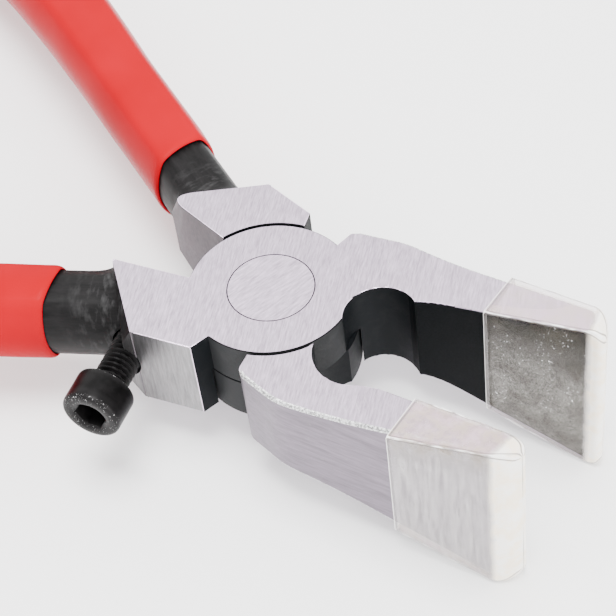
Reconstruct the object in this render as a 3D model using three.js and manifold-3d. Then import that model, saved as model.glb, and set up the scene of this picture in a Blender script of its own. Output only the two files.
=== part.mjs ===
// Running pliers for stained glass, lying flat and part open.
// Two lapped steel halves turn on a flush rivet. Each half has a dipped grip on its handle and a
// clear vinyl cover on its flared jaw. A socket screw through one handle stops the jaws closing.
//
// Millimetres, +Z up. The origin is on the pivot axis, on the top face of the head, and +X runs to
// the jaw tips. One half is drawn in its "closed frame": its own place when the jaws are shut, with
// its jaw on +Y and its handle on -Y. The other half is the same shape turned over about X.

import * as THREE from 'three';
import { mergeVertices } from 'three/addons/utils/BufferGeometryUtils.js';
import { ConvexGeometry } from 'three/addons/geometries/ConvexGeometry.js';
import Module from 'manifold-3d';

const wasm = await Module();
wasm.setup();

// Driving dimensions ---------------------------------------------------------------------------

const HEAD_THICKNESS = 13.6;
const MID_Z = -HEAD_THICKNESS / 2;
const HALF_OPEN_ANGLE = THREE.MathUtils.degToRad(12.4); // each half, from shut to the modelled pose
const ROUND_SEGMENTS = 96;
const CUT_REACH = 60; // how far a cutting or trimming block reaches past the part

const LAP = { discRadius: 11.2, pocketGap: 0.33, faceGap: 0.06 };
const RIVET = { radius: 5.75, gap: 0.09 };

const JAW = {
  outerY: 12.65, // the outer side, from the heel to the bend
  heelSlope: 0.45, heelRound: 1.4,
  bendX: 14.4, bendRound: 1.8, // past the bend it turns in towards the tip
  tipX: 43.1, tipOuterY: 3.51, tipInnerY: 0.17,
  rootInnerX: 20.4, rootInnerY: 3.35, // the inner side, where it would meet the relief hole
  tipRound: 1.1,
};
const FLARE = { startX: 18.0, blend: 8, rise: 0.247 }; // the jaw grows taller up and down

const SHOULDER = {
  innerY: -1.62, outerY: -12.7,
  outerRound: 0.5, // where the slanted back edge meets the outer side
  endX: -5.95, notchX: -4.65, notchY: -10.3, // the end face beside the other jaw
  // The dark bevel under the back edge slopes out to a ridge, wider at its outer end.
  ridgeInnerX: -22.8, ridgeBack: 1.5, ridgeShift: 0.4, ridgeDrop: 2.9,
};

const HANDLE = {
  heading: THREE.MathUtils.degToRad(195.3), turn: THREE.MathUtils.degToRad(13.5),
  bendStart: 68, bendEnd: 118,
  tangWidth: 9.6, tangHeight: 11.2, // section across the closing direction and in Z
  coreStart: 15, coreStartScale: [0.8, 0.9],
  coreEnd: 150, coreEndScale: 0.8,
  faceDistance: 20.4, faceSkew: -0.384, // where the tang meets the shoulder's slanted back
};

// The hand-finished halves are not quite alike. Each has its handle's offset from the pivot, where
// its grip begins, the ends of its shoulder's back edge, where its jaw leaves the disc, its jaw's
// heel, and its relief hole with the corner past the hole.
const SCREW_SIDE = {
  offset: -0.4, gripStart: 30, hasScrewHole: true,
  innerCornerX: -22.7, innerRound: 0.7, outerCornerX: -14.7,
  leaveX: 5.6, leaveY: 9.7, heelX: 6.9,
  relief: { x: 15.45, y: -0.38, radius: 4.84, endAngle: 41, easeX: 21.2, ease: 3.3 },
};
const PLAIN_SIDE = {
  offset: 1.5, gripStart: 31.2, hasScrewHole: false,
  innerCornerX: -23.4, innerRound: 4.0, outerCornerX: -14.25,
  leaveX: 6.0, leaveY: 9.45, heelX: 7.4,
  relief: { x: 16.5, y: -0.54, radius: 6.3, endAngle: 66, easeX: 22.4, ease: 2.2 },
};

const GRIP = {
  width: 10.7, height: 13.0, swellWidth: 1.8, swellHeight: 0.9,
  swellLength: 65, end: 158, fit: 0.15, endRound: 8, lip: 0.45, lipLength: 1.2,
  frontSkew: 0.2, // the front edge runs a little aslant, further back on the outer side
};

const SCREW = {
  x: -17.0, headUndersideY: -17.6, headRadius: 4.1, headLength: 5, length: 16, majorRadius: 2.45,
  hexAcrossFlats: 4, hexDepth: 2.6, holeGap: 0.3, tipChamfer: 0.6, headChamfer: 0.35,
};

const COVER = {
  startInnerX: 28.8, startOuterX: 30.4, film: 0.4, fit: 0.1,
  nose: 2.1, noseOuterRound: 2.8, noseInnerRound: 1.0, noseTopRound: 2.4,
};

// How much the tang's section grows as it nears the shoulder: [distance from the face, growth].
const TANG_FLARE = [[-3, 1.3], [0.4, 1.1], [0.9, 0.7], [1.6, 0.35], [2.6, 0.1], [4, 0]];
const TANG_STRAIGHT = { start: 28.4, firstStep: 40, steps: 16 }; // rings square to the centre line

// Solids ---------------------------------------------------------------------------------------

function toSolid(geometry) {
  const bare = geometry.clone();
  bare.deleteAttribute('normal');
  bare.deleteAttribute('uv');
  const merged = mergeVertices(bare, 1e-4);
  return new wasm.Manifold(new wasm.Mesh({
    numProp: 3,
    vertProperties: Float32Array.from(merged.attributes.position.array),
    triVerts: Uint32Array.from(merged.index.array),
  }));
}

function toGeometry(solid) {
  const mesh = solid.getMesh();
  const geometry = new THREE.BufferGeometry();
  geometry.setAttribute('position', new THREE.BufferAttribute(mesh.vertProperties, 3));
  geometry.setIndex(new THREE.BufferAttribute(mesh.triVerts, 1));
  geometry.computeVertexNormals();
  return geometry;
}

// The outline's points, without the doubled ones where a line meets an arc.
function cleanOutline(shape) {
  const points = shape.getPoints(12);
  const apart = points.filter((point, i) => point.distanceTo(points[(i + 1) % points.length]) > 1e-3);
  return new THREE.Shape(apart);
}

// An outline in plan, extruded from zLow to zHigh.
function planSolid(shape, zLow, zHigh) {
  const geometry = new THREE.ExtrudeGeometry(cleanOutline(shape), {
    depth: zHigh - zLow, bevelEnabled: false,
  });
  geometry.translate(0, 0, zLow);
  return toSolid(geometry);
}

// An outline in X and Z, extruded along Y right across the part.
function sideSolid(shape) {
  const geometry = new THREE.ExtrudeGeometry(cleanOutline(shape), {
    depth: 2 * CUT_REACH, bevelEnabled: false,
  });
  geometry.rotateX(Math.PI / 2);
  geometry.translate(0, CUT_REACH, 0);
  return toSolid(geometry);
}

// An upright cylinder.
function postSolid(x, y, radius, zLow, zHigh) {
  const geometry = new THREE.CylinderGeometry(radius, radius, zHigh - zLow, ROUND_SEGMENTS);
  geometry.rotateX(Math.PI / 2);
  geometry.translate(x, y, (zLow + zHigh) / 2);
  return toSolid(geometry);
}

function blockSolid(low, high) {
  const size = new THREE.Vector3().subVectors(high, low);
  const geometry = new THREE.BoxGeometry(size.x, size.y, size.z);
  geometry.translate((low.x + high.x) / 2, (low.y + high.y) / 2, (low.z + high.z) / 2);
  return toSolid(geometry);
}

// A closed skin over rings of points, with a flat cap on the first and last ring.
function loftSolid(rings) {
  const count = rings[0].length;
  const positions = rings.flat().flatMap((point) => [point.x, point.y, point.z]);
  const indices = [];
  for (let r = 0; r < rings.length - 1; r += 1) {
    for (let i = 0; i < count; i += 1) {
      const next = (i + 1) % count;
      const a = r * count + i;
      const b = r * count + next;
      const c = a + count;
      const d = b + count;
      indices.push(a, d, b, a, c, d);
    }
  }
  const last = (rings.length - 1) * count;
  for (let i = 1; i < count - 1; i += 1) {
    indices.push(0, i, i + 1);
    indices.push(last, last + i + 1, last + i);
  }
  const geometry = new THREE.BufferGeometry();
  geometry.setAttribute('position', new THREE.Float32BufferAttribute(positions, 3));
  geometry.setIndex(indices);
  return toSolid(geometry);
}

// Head and jaw ---------------------------------------------------------------------------------

const jawOuterSlope = (JAW.tipOuterY - JAW.outerY) / (JAW.tipX - JAW.bendX);
const jawInnerSlope = (JAW.tipInnerY - JAW.rootInnerY) / (JAW.tipX - JAW.rootInnerX);
const jawOuterY = (x) => JAW.outerY + jawOuterSlope * (x - JAW.bendX);
const jawInnerY = (x) => JAW.rootInnerY + jawInnerSlope * (x - JAW.rootInnerX);

// The jaw in plan. It ends just inside the relief hole, which is cut afterwards.
function jawShape({ relief, leaveX, leaveY, heelX }) {
  const { x, y, radius, endAngle, easeX, ease } = relief;
  const overlap = 0.05;
  const cornerAngle = THREE.MathUtils.degToRad(endAngle);
  const cornerX = x + (radius - overlap) * Math.cos(cornerAngle);
  const cornerY = y + (radius - overlap) * Math.sin(cornerAngle);
  const { outerY, heelSlope, heelRound, bendX, bendRound } = JAW;
  const { tipX, tipOuterY, tipInnerY, tipRound } = JAW;
  const shape = new THREE.Shape();
  shape.moveTo(0, 0);
  shape.lineTo(leaveX, leaveY);
  shape.lineTo(heelX - heelSlope, outerY - 1);
  shape.quadraticCurveTo(heelX, outerY, heelX + heelRound, outerY);
  shape.lineTo(bendX - bendRound, outerY);
  shape.quadraticCurveTo(bendX, outerY, bendX + bendRound, jawOuterY(bendX + bendRound));
  shape.lineTo(tipX - tipRound, jawOuterY(tipX - tipRound));
  shape.quadraticCurveTo(tipX, tipOuterY, tipX, tipOuterY - tipRound);
  shape.lineTo(tipX, tipInnerY + tipRound / 2);
  shape.quadraticCurveTo(tipX, tipInnerY, tipX - tipRound / 2, jawInnerY(tipX));
  shape.lineTo(easeX + ease, jawInnerY(easeX + ease));
  shape.quadraticCurveTo(easeX, jawInnerY(easeX), cornerX, cornerY);
  shape.lineTo(x, y);
  shape.closePath();
  return shape;
}

// The head's side view: flat, then flaring up and down towards the tip. Grown by a skin if given.
function flareProfile(skin) {
  const { startX, blend, rise } = FLARE;
  const farX = CUT_REACH;
  const farZ = rise * (farX - startX);
  const top = skin;
  const bottom = -HEAD_THICKNESS - skin;
  const shape = new THREE.Shape();
  shape.moveTo(-CUT_REACH, top);
  shape.lineTo(startX - blend, top);
  shape.quadraticCurveTo(startX, top, startX + blend, top + rise * blend);
  shape.lineTo(farX, top + farZ);
  shape.lineTo(farX, bottom - farZ);
  shape.lineTo(startX + blend, bottom - rise * blend);
  shape.quadraticCurveTo(startX, bottom, startX - blend, bottom);
  shape.lineTo(-CUT_REACH, bottom);
  shape.closePath();
  return sideSolid(shape);
}

// The shoulder's slanted back edge, and its rounded inner corner from the wall round to the edge.
function backEdgeOf({ innerCornerX, innerRound, outerCornerX }) {
  const { innerY, outerY } = SHOULDER;
  const corner = new THREE.Vector2(innerCornerX, innerY);
  const outer = new THREE.Vector2(outerCornerX, outerY);
  const direction = outer.clone().sub(corner).normalize();
  return {
    outer,
    direction,
    normal: new THREE.Vector2(direction.y, -direction.x),
    cornerCurve: new THREE.QuadraticBezierCurve(
      new THREE.Vector2(innerCornerX + innerRound, innerY),
      corner,
      corner.clone().addScaledVector(direction, innerRound),
    ),
  };
}

function shoulderShape(edge) {
  const { innerY, outerY, outerRound, endX, notchX, notchY } = SHOULDER;
  const { v0, v1, v2 } = edge.cornerCurve;
  const outerEnd = edge.outer.clone().addScaledVector(edge.direction, -outerRound);
  const shape = new THREE.Shape();
  shape.moveTo(0, 0);
  shape.lineTo(-LAP.discRadius / 2, innerY);
  shape.lineTo(v0.x, v0.y);
  shape.quadraticCurveTo(v1.x, v1.y, v2.x, v2.y);
  shape.lineTo(outerEnd.x, outerEnd.y);
  shape.quadraticCurveTo(edge.outer.x, outerY, edge.outer.x + outerRound, outerY);
  shape.lineTo(endX, outerY);
  shape.lineTo(notchX, notchY);
  shape.closePath();
  return shape;
}

// The bevel under the shoulder's back edge, sloping out to a ridge band round mid thickness.
function backBevel(edge) {
  const { innerY, outerY, ridgeInnerX, ridgeBack, ridgeShift, ridgeDrop } = SHOULDER;
  const tuck = 2;
  const skin = 0.02;
  const points = [];
  const addPair = (x, y, depth) => {
    points.push(new THREE.Vector3(x, y, -depth), new THREE.Vector3(x, y, depth - HEAD_THICKNESS));
  };
  for (const place of edge.cornerCurve.getPoints(8)) {
    addPair(place.x, place.y, skin);
  }
  const outer = edge.outer.clone().addScaledVector(edge.direction, -skin);
  addPair(outer.x, outer.y, skin);
  addPair(outer.x - edge.normal.x * tuck, outer.y - edge.normal.y * tuck, skin);
  addPair(ridgeInnerX, innerY, ridgeDrop);
  addPair(outer.x + edge.normal.x * ridgeBack - ridgeShift, outerY + skin, ridgeDrop);
  return toSolid(new ConvexGeometry(points));
}

// Handle ---------------------------------------------------------------------------------------

// A place on the handle's centre line, a distance along from the pivot: straight, bent, straight.
function handlePlace(distance, offset) {
  const { heading, turn, bendStart, bendEnd } = HANDLE;
  const bent = THREE.MathUtils.clamp(distance, bendStart, bendEnd) - bendStart;
  const curvature = -turn / (bendEnd - bendStart);
  const angle = heading + curvature * bent;
  const straightIn = Math.min(distance, bendStart);
  const straightOut = Math.max(distance - bendEnd, 0);
  const x = straightIn * Math.cos(heading) + (Math.sin(angle) - Math.sin(heading)) / curvature
    + straightOut * Math.cos(angle);
  const y = straightIn * Math.sin(heading) - (Math.cos(angle) - Math.cos(heading)) / curvature
    + straightOut * Math.sin(angle);
  return {
    x: x - offset * Math.sin(heading),
    y: y + offset * Math.cos(heading),
    outX: -Math.sin(angle),
    outY: Math.cos(angle),
    alongX: Math.cos(angle),
    alongY: Math.sin(angle),
  };
}

// One quarter of the handle's section as fractions of its half width and half height: a crown, a
// soft ridge at the corner, and a rounded side.
const SECTION_QUARTER = [[0, 1], [0.38, 0.975], [0.68, 0.89], [0.87, 0.6], [0.97, 0.28], [1, 0]];

function sectionPoints() {
  const upperOut = SECTION_QUARTER;
  const lowerOut = upperOut.slice(0, -1).reverse().map(([u, v]) => [u, -v]);
  const outside = [...upperOut, ...lowerOut];
  const inside = outside.slice(1, -1).reverse().map(([u, v]) => [-u, v]);
  return [...outside, ...inside];
}

// A ring round the handle. skew leans the ring so that it lies parallel to the slanted shoulder.
function handleRing(distance, offset, width, height, skew = 0) {
  const place = handlePlace(distance, offset);
  return sectionPoints().map(([u, v]) => {
    const out = (u * width) / 2;
    const along = skew * out;
    return new THREE.Vector3(
      place.x + place.outX * out + place.alongX * along,
      place.y + place.outY * out + place.alongY * along,
      MID_Z + (v * height) / 2,
    );
  });
}

function evenSteps(from, to, count) {
  return Array.from({ length: count + 1 }, (_, i) => from + ((to - from) * i) / count);
}

// Distances of the square rings, the same for the steel and for the bore of the grip round it.
function straightSteps() {
  const { start, firstStep, steps } = TANG_STRAIGHT;
  return [start, ...evenSteps(firstStep, HANDLE.coreEnd - 2, steps)];
}

// The steel handle, flaring where it joins the shoulder, and running on inside the grip.
function handleCore(offset) {
  const { tangWidth, tangHeight, coreStart, coreEnd, faceDistance, faceSkew } = HANDLE;
  const [startWidth, startHeight] = HANDLE.coreStartScale;
  const rings = [
    handleRing(coreStart, offset, tangWidth * startWidth, tangHeight * startHeight, faceSkew),
  ];
  for (const [step, extra] of TANG_FLARE) {
    const distance = faceDistance + step;
    rings.push(handleRing(distance, offset, tangWidth + extra, tangHeight + extra, faceSkew));
  }
  for (const distance of straightSteps()) {
    rings.push(handleRing(distance, offset, tangWidth, tangHeight));
  }
  const endScale = HANDLE.coreEndScale;
  rings.push(handleRing(coreEnd, offset, tangWidth * endScale, tangHeight * endScale));
  const inwardSide = blockSolid(
    new THREE.Vector3(-faceDistance - 6, SHOULDER.innerY, -CUT_REACH),
    new THREE.Vector3(0, CUT_REACH, CUT_REACH),
  );
  return loftSolid(rings).subtract(inwardSide);
}

// The dipped sleeve on the handle, with a rolled lip in front and a rounded end.
function gripSolid({ offset, gripStart: start }) {
  const { width, height, swellWidth, swellHeight, swellLength, end, fit, endRound, lip } = GRIP;
  const swell = (distance) => THREE.MathUtils.smoothstep(distance, start, start + swellLength);
  const outerRing = (distance, { scale, inset, skew }) => handleRing(
    distance, offset,
    (width + swellWidth * swell(distance)) * scale - inset,
    (height + swellHeight * swell(distance)) * scale - inset,
    skew,
  );
  const outer = [];
  for (const turn of [0, 0.35, 0.7, 1]) {
    const inset = 2 * lip * (1 - Math.sin((turn * Math.PI) / 2));
    const distance = start + GRIP.lipLength * turn * turn;
    outer.push(outerRing(distance, { scale: 1, inset, skew: GRIP.frontSkew }));
  }
  for (const distance of evenSteps(start + 5, end - endRound, 18)) {
    outer.push(outerRing(distance, { scale: 1, inset: 0, skew: 0 }));
  }
  for (const turn of [0.25, 0.5, 0.7, 0.85, 0.95, 1]) {
    const scale = Math.max(Math.sqrt(1 - turn ** 2.4), 0.28);
    outer.push(outerRing(end - endRound + endRound * turn, { scale, inset: 0, skew: 0 }));
  }
  const boreWidth = HANDLE.tangWidth + 2 * fit;
  const boreHeight = HANDLE.tangHeight + 2 * fit;
  const bore = straightSteps()
    .map((distance) => handleRing(distance, offset, boreWidth, boreHeight));
  bore.push(handleRing(HANDLE.coreEnd + 2 * fit, offset, boreWidth, boreHeight));
  return loftSolid(outer).subtract(loftSolid(bore));
}

// One half of the pliers ------------------------------------------------------------------------

function halfSolid(side) {
  const { discRadius, pocketGap, faceGap } = LAP;
  const { relief, offset, hasScrewHole } = side;
  const edge = backEdgeOf(side);
  const head = postSolid(0, 0, discRadius, -CUT_REACH, CUT_REACH)
    .add(planSolid(jawShape(side), -CUT_REACH, CUT_REACH))
    .add(planSolid(shoulderShape(edge), -CUT_REACH, CUT_REACH))
    .subtract(postSolid(relief.x, relief.y, relief.radius, -CUT_REACH, CUT_REACH))
    .intersect(flareProfile(0));
  let half = head.add(backBevel(edge)).add(handleCore(offset));
  const lapFloor = MID_Z + faceGap;
  half = half.subtract(postSolid(0, 0, discRadius + pocketGap, -CUT_REACH, lapFloor));
  half = half.subtract(postSolid(0, 0, RIVET.radius + RIVET.gap, -CUT_REACH, CUT_REACH));
  if (hasScrewHole) {
    const hole = new THREE.CylinderGeometry(
      SCREW.majorRadius + SCREW.holeGap, SCREW.majorRadius + SCREW.holeGap, CUT_REACH, 40,
    );
    hole.translate(SCREW.x, 0, MID_Z);
    half = half.subtract(toSolid(hole));
  }
  return half;
}

// The socket screw, lying along -Y with its head outside the handle.
function screwSolid() {
  const { headRadius, headLength, length, majorRadius, hexAcrossFlats, hexDepth } = SCREW;
  const edge = SCREW.headChamfer;
  const tip = SCREW.tipChamfer;
  const profile = [
    [0, length], [majorRadius - tip, length], [majorRadius, length - tip], [majorRadius, 0],
    [headRadius, 0], [headRadius, edge - headLength], [headRadius - edge, -headLength],
    [0, -headLength],
  ].map(([r, y]) => new THREE.Vector2(r, y));
  const body = toSolid(new THREE.LatheGeometry(profile.reverse(), 48));
  const hexRadius = hexAcrossFlats / Math.sqrt(3);
  const socket = new THREE.CylinderGeometry(hexRadius, hexRadius, 2 * hexDepth, 6);
  socket.translate(0, -headLength, 0);
  return body.subtract(toSolid(socket));
}

// A clear vinyl cover dipped over a jaw, thick at the nose. Its open edge runs aslant.
function coverSolid() {
  const { startInnerX, startOuterX, film, fit, nose, noseOuterRound, noseInnerRound } = COVER;
  const skin = film + fit;
  const noseX = JAW.tipX + nose;
  const outerRoundX = noseX - noseOuterRound;
  const innerRoundX = noseX - noseInnerRound;
  const outline = new THREE.Shape();
  outline.moveTo(startInnerX, jawInnerY(startInnerX) - skin);
  outline.lineTo(startOuterX, jawOuterY(startOuterX) + skin);
  outline.lineTo(outerRoundX, jawOuterY(outerRoundX) + skin);
  outline.quadraticCurveTo(
    noseX, jawOuterY(noseX) + skin, noseX, jawOuterY(noseX) - noseOuterRound / 2,
  );
  outline.lineTo(noseX, jawInnerY(noseX) - skin + noseInnerRound);
  outline.quadraticCurveTo(
    noseX, jawInnerY(noseX) - skin, innerRoundX, jawInnerY(innerRoundX) - skin,
  );
  outline.closePath();
  const hollow = new THREE.Shape();
  const backX = startInnerX - nose; // clear of the open edge
  const frontX = JAW.tipX + fit;
  hollow.moveTo(backX, jawInnerY(backX) - fit);
  hollow.lineTo(backX, jawOuterY(backX) + fit);
  hollow.lineTo(frontX, jawOuterY(frontX) + fit);
  hollow.lineTo(frontX, jawInnerY(frontX) - fit);
  hollow.closePath();
  return planSolid(outline, -CUT_REACH, CUT_REACH).intersect(flareProfile(skin))
    .intersect(noseProfile(noseX, skin))
    .subtract(planSolid(hollow, -CUT_REACH, CUT_REACH).intersect(flareProfile(fit)));
}

// The cover's side view at the nose, where its top and bottom round over.
function noseProfile(noseX, skin) {
  const round = COVER.noseTopRound;
  const topZ = skin + FLARE.rise * (noseX - FLARE.startX);
  const bottomZ = -HEAD_THICKNESS - topZ;
  const beforeZ = topZ - FLARE.rise * round;
  const shape = new THREE.Shape();
  shape.moveTo(0, CUT_REACH);
  shape.lineTo(noseX - round, CUT_REACH);
  shape.lineTo(noseX - round, beforeZ);
  shape.quadraticCurveTo(noseX, topZ, noseX, topZ - round);
  shape.lineTo(noseX, bottomZ + round);
  shape.quadraticCurveTo(noseX, bottomZ, noseX - round, -HEAD_THICKNESS - beforeZ);
  shape.lineTo(noseX - round, -CUT_REACH);
  shape.lineTo(0, -CUT_REACH);
  shape.closePath();
  return sideSolid(shape);
}

// Assembly -------------------------------------------------------------------------------------

function piece(name, solid, colour, roughness, metalness) {
  const material = new THREE.MeshStandardMaterial({ color: colour, roughness, metalness });
  const mesh = new THREE.Mesh(toGeometry(solid), material);
  mesh.name = name;
  return mesh;
}

const STEEL = [0xc9c6ca, 0.32, 0.95];
const BLACK_STEEL = [0x1c1c1f, 0.45, 0.8];
const RED_VINYL = [0xe8202c, 0.22, 0];
const CLEAR_VINYL = [0xd9d6c8, 0.2, 0];

// The screw side lies in its closed frame, turned open.
const screwSide = new THREE.Group();
screwSide.rotation.z = HALF_OPEN_ANGLE;
screwSide.add(piece('half_a', halfSolid(SCREW_SIDE), ...STEEL));
screwSide.add(piece('grip_a', gripSolid(SCREW_SIDE), ...RED_VINYL));
screwSide.add(piece('jaw_cover_a', coverSolid(), ...CLEAR_VINYL));

const stopScrew = piece('stop_screw', screwSolid(), ...BLACK_STEEL);
stopScrew.position.set(SCREW.x, SCREW.headUndersideY, MID_Z);
screwSide.add(stopScrew);

const rivet = piece(
  'pivot_rivet', postSolid(0, 0, RIVET.radius, -HEAD_THICKNESS, 0), ...STEEL,
);

// The plain side is turned over about X, then turned open the other way.
const turnedOver = new THREE.Group();
turnedOver.rotation.x = Math.PI;
turnedOver.position.z = -HEAD_THICKNESS;
turnedOver.add(piece('half_b', halfSolid(PLAIN_SIDE), ...STEEL));
turnedOver.add(piece('grip_b', gripSolid(PLAIN_SIDE), ...RED_VINYL));
turnedOver.add(piece('jaw_cover_b', coverSolid(), ...CLEAR_VINYL));
const plainSide = new THREE.Group();
plainSide.rotation.z = -HALF_OPEN_ANGLE;
plainSide.add(turnedOver);

const group = new THREE.Group();
group.add(screwSide, rivet, plainSide);

export default group;
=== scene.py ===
import math

import bmesh
import bpy
from mathutils import Matrix, Vector, noise


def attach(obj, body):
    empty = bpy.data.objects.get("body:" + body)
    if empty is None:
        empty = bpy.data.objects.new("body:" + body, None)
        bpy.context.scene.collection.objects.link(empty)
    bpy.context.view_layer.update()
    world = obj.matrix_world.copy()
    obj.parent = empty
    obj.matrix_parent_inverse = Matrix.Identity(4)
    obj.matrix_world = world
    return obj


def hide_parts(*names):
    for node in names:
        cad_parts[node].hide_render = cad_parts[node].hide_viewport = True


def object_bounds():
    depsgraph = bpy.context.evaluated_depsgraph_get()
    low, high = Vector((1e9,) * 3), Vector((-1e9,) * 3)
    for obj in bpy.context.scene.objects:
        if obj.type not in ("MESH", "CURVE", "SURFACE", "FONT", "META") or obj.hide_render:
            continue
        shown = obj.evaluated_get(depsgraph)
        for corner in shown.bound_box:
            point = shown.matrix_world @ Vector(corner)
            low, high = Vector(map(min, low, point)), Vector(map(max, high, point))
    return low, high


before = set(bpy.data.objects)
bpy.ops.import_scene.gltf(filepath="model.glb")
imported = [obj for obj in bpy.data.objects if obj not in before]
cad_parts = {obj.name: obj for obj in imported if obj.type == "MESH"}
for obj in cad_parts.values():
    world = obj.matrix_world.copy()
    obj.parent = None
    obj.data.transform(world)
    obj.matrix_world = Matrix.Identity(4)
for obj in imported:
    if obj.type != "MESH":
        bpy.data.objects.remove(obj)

CAD_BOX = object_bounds()
MM = 0.001

# Dimensions, in millimetres and radians. Where a piece follows the CAD, they repeat the CAD's to
# within 0.1 mm.
HEAD_THICKNESS = 13.6
MID_Z = -HEAD_THICKNESS / 2
HALF_OPEN = math.radians(12.4)
LAP_RADIUS = 11.2
RIVET_RADIUS = 5.75

JAW_OUTER = ((14.4, 12.65), (43.1, 3.51))
JAW_INNER = ((20.4, 3.45), (43.1, 0.17))
JAW_TIP_X = 43.1
FLARE_START, FLARE_BLEND, FLARE_RISE = 18.0, 8.0, 0.247

HANDLE_HEADING = math.radians(195.3)
HANDLE_TURN = math.radians(13.5)
BEND_START, BEND_END = 68.0, 118.0
TANG_SIZE = (9.6, 11.2)
HANDLE_OFFSET = {"a": -0.4, "b": 1.5}
GRIP_START = {"a": 30.0, "b": 31.2}
GRIP_SIZE, GRIP_SWELL, GRIP_SWELL_LENGTH = (10.7, 13.0), (1.8, 0.9), 65.0
GRIP_END, GRIP_END_ROUND, CORE_END = 158.0, 8.0, 150.0
GRIP_LIP, GRIP_LIP_LENGTH, GRIP_SKEW = 0.45, 1.2, 0.2

SCREW_X, SCREW_UNDERSIDE_Y = -17.0, -17.6
SCREW_HEAD_RADIUS, SCREW_HEAD_LENGTH, SCREW_LENGTH = 4.1, 5.0, 16.0
THREAD_RADIUS, THREAD_DEPTH, THREAD_PITCH = 2.45, 0.42, 0.8
HEX_APOTHEM, HEX_DEPTH = 2.0, 2.6

COVER_START = (28.8, 30.4)  # the seam's x on the inner and on the outer side
COVER_FIT, COVER_FILM, COVER_NOSE = 0.1, 0.4, 2.1
COVER_HAZE = {"a": 0.015, "b": 0.22}

BODY = {"a": "screw_side", "b": "plain_side"}


# Frames -----------------------------------------------------------------------------------------

def closed_frame(side):
    """Takes a point of one half's closed frame, in mm, to the shared frame, in metres."""
    scale = Matrix.Scale(MM, 4)
    if side == "a":
        return scale @ Matrix.Rotation(HALF_OPEN, 4, "Z")
    over = Matrix.Translation((0, 0, -HEAD_THICKNESS)) @ Matrix.Rotation(math.pi, 4, "X")
    return scale @ Matrix.Rotation(-HALF_OPEN, 4, "Z") @ over


def line_y(line, x):
    (x0, y0), (x1, y1) = line
    return y0 + (y1 - y0) * (x - x0) / (x1 - x0)


def flare_height(x):
    """How far the head's top face rises above its flat at x."""
    past = x - FLARE_START
    if past <= -FLARE_BLEND:
        return 0.0
    if past < FLARE_BLEND:
        return FLARE_RISE * (past + FLARE_BLEND) ** 2 / (4 * FLARE_BLEND)
    return FLARE_RISE * past


# Shader helpers ---------------------------------------------------------------------------------

class Shader:
    """A short way to write a material's nodes."""

    def __init__(self, name):
        self.material = bpy.data.materials.new(name)
        self.material.use_nodes = True
        self.tree = self.material.node_tree
        self.surface = self.tree.nodes["Principled BSDF"]

    def add(self, kind, inputs=None, **settings):
        made = self.tree.nodes.new("ShaderNode" + kind)
        for key, value in settings.items():
            setattr(made, key, value)
        for key, value in (inputs or {}).items():
            self.put(made.inputs[key], value)
        return made

    def put(self, socket, value):
        if isinstance(value, bpy.types.NodeSocket):
            self.tree.links.new(value, socket)
        else:
            socket.default_value = value

    def set(self, **values):
        for key, value in values.items():
            self.put(self.surface.inputs[key.replace("_", " ")], value)

    def place(self, turn=0.0, stretch=(1, 1, 1)):
        """Object coordinates in millimetres, turned about Z and then stretched."""
        place = self.add("TexCoord").outputs["Object"]
        turned = self.add("VectorRotate", {"Vector": place, "Angle": -turn}, rotation_type="Z_AXIS")
        scaled = [s / MM for s in stretch]
        product = self.add("VectorMath", {0: turned.outputs[0], 1: scaled}, operation="MULTIPLY")
        return product.outputs[0]

    def noise(self, vector, scale=1.0, detail=3.0, roughness=0.55, distortion=0.0):
        made = self.add("TexNoise", {
            "Vector": vector, "Scale": scale, "Detail": detail,
            "Roughness": roughness, "Distortion": distortion,
        })
        return made.outputs["Fac"]

    def math(self, operation, a, b=0.5):
        return self.add("Math", {0: a, 1: b}, operation=operation).outputs[0]

    def span(self, value, low, high, to_low=0.0, to_high=1.0):
        """Maps low..high to to_low..to_high, held at the ends."""
        made = self.add("MapRange", {
            "Value": value, "From Min": low, "From Max": high,
            "To Min": to_low, "To Max": to_high,
        })
        return made.outputs[0]

    def blend(self, factor, a, b):
        made = self.add("Mix", {"Factor": factor}, data_type="RGBA")
        self.put(made.inputs[6], a)
        self.put(made.inputs[7], b)
        return made.outputs[2]

    def bump(self, height, distance, strength=1.0):
        inputs = {"Height": height, "Distance": distance * MM, "Strength": strength}
        return self.add("Bump", inputs).outputs[0]


def grey(level, tint=(1.0, 1.0, 1.0)):
    return (level * tint[0], level * tint[1], level * tint[2], 1.0)


# Materials --------------------------------------------------------------------------------------

LAVENDER = (1.0, 0.84, 1.03)
VIOLET = (1.0, 0.84, 0.96)
BLUE_BLACK = (0.8, 1.0, 1.2)
TANG_RUB = (29.0, 23.5)  # how far from the pivot the paler rub by the shoulder begins and is full


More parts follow.
